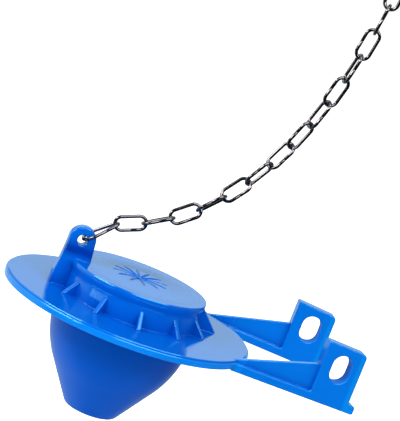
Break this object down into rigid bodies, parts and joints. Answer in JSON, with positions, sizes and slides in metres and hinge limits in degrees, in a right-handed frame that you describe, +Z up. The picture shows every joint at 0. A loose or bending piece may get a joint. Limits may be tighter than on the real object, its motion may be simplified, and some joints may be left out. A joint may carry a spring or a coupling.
{
  "type": "toilet flapper",
  "caption": "Toilet tank flapper: round moulded lid with slotted hinge arms, a soft seal with a hollow float cone under it, and a steel lift chain with a wire hook.",
  "frame": {"origin": "centre of the sealing face under the flange, where the flapper lies on the flush valve seat", "axes": "+Z up along the axis of the float cone, +X towards the slotted hinge arms, chain ear on the -X side"},
  "size_m": [0.1161, 0.0818, 0.1774],
  "materials": {
    "lid_plastic": "glossy moulded blue plastic",
    "float_plastic": "satin blue soft plastic",
    "chain_steel": "bright polished steel wire"
  },
  "bodies": {
    "flapper": {"flapper_frame": "lid_plastic", "seal_float": "float_plastic"},
    "link_01": {"chain_link_01": "chain_steel"},
    "link_02": {"chain_link_02": "chain_steel"},
    "link_03": {"chain_link_03": "chain_steel"},
    "link_04": {"chain_link_04": "chain_steel"},
    "link_05": {"chain_link_05": "chain_steel"},
    "link_06": {"chain_link_06": "chain_steel"},
    "link_07": {"chain_link_07": "chain_steel"},
    "link_08": {"chain_link_08": "chain_steel"},
    "link_09": {"chain_link_09": "chain_steel"},
    "link_10": {"chain_link_10": "chain_steel"},
    "link_11": {"chain_link_11": "chain_steel"},
    "link_12": {"chain_link_12": "chain_steel"},
    "link_13": {"chain_link_13": "chain_steel"},
    "link_14": {"chain_link_14": "chain_steel"},
    "link_15": {"chain_link_15": "chain_steel"},
    "hook": {"lever_hook": "chain_steel"}
  },
  "joints": [
    {"name": "link_01_swing", "type": "hinge", "parent": "flapper", "child": "link_01", "pos_m": [-0.0218, 0, 0.0185], "axis": [0, -1, 0], "range_deg": [-35, 100]},
    {"name": "link_02_swing", "type": "hinge", "parent": "link_01", "child": "link_02", "pos_m": [-0.01275, 0, 0.02676], "axis": [0, 1, 0], "range_deg": [-45, 45]},
    {"name": "link_03_swing", "type": "hinge", "parent": "link_02", "child": "link_03", "pos_m": [-0.00446, 0, 0.02986], "axis": [-0.3502, 0, 0.9367], "range_deg": [-45, 45]},
    {"name": "link_04_swing", "type": "hinge", "parent": "link_03", "child": "link_04", "pos_m": [0.00325, 0, 0.0342], "axis": [0.0768, 0.9877, -0.1363], "range_deg": [-45, 45]},
    {"name": "link_05_swing", "type": "hinge", "parent": "link_04", "child": "link_05", "pos_m": [0.01023, 0, 0.03963], "axis": [-0.5838, 0.309, 0.7508], "range_deg": [-45, 45]},
    {"name": "link_06_swing", "type": "hinge", "parent": "link_05", "child": "link_06", "pos_m": [0.01642, 0, 0.04596], "axis": [0.3245, 0.891, -0.3175], "range_deg": [-45, 45]},
    {"name": "link_07_swing", "type": "hinge", "parent": "link_06", "child": "link_07", "pos_m": [0.02181, 0, 0.05298], "axis": [-0.642, 0.5878, 0.4922], "range_deg": [-45, 45]},
    {"name": "link_08_swing", "type": "hinge", "parent": "link_07", "child": "link_08", "pos_m": [0.02643, 0, 0.06053], "axis": [0.603, 0.7071, -0.3693], "range_deg": [-45, 45]},
    {"name": "link_09_swing", "type": "hinge", "parent": "link_08", "child": "link_09", "pos_m": [0.03035, 0, 0.06846], "axis": [-0.5268, 0.809, 0.2607], "range_deg": [-45, 45]},
    {"name": "link_10_swing", "type": "hinge", "parent": "link_09", "child": "link_10", "pos_m": [0.03366, 0, 0.07667], "axis": [0.8266, 0.454, -0.3326], "range_deg": [-45, 45]},
    {"name": "link_11_swing", "type": "hinge", "parent": "link_10", "child": "link_11", "pos_m": [0.03641, 0, 0.08508], "axis": [-0.2937, 0.9511, 0.0962], "range_deg": [-45, 45]},
    {"name": "link_12_swing", "type": "hinge", "parent": "link_11", "child": "link_12", "pos_m": [0.03869, 0, 0.09364], "axis": [0.9545, 0.1564, -0.2539], "range_deg": [-45, 45]},
    {"name": "link_13_swing", "type": "hinge", "parent": "link_12", "child": "link_13", "pos_m": [0.04054, 0, 0.10229], "axis": [0, 1, 0], "range_deg": [-45, 45]},
    {"name": "link_14_swing", "type": "hinge", "parent": "link_13", "child": "link_14", "pos_m": [0.04203, 0, 0.11101], "axis": [0.9736, -0.1564, -0.166], "range_deg": [-45, 45]},
    {"name": "link_15_swing", "type": "hinge", "parent": "link_14", "child": "link_15", "pos_m": [0.04319, 0, 0.11979], "axis": [0.3063, 0.9511, -0.0406], "range_deg": [-45, 45]},
    {"name": "hook_swing", "type": "hinge", "parent": "link_15", "child": "hook", "pos_m": [0.04407, 0, 0.12859], "axis": [0.8866, -0.454, -0.0884], "range_deg": [-45, 45]}
  ]
}
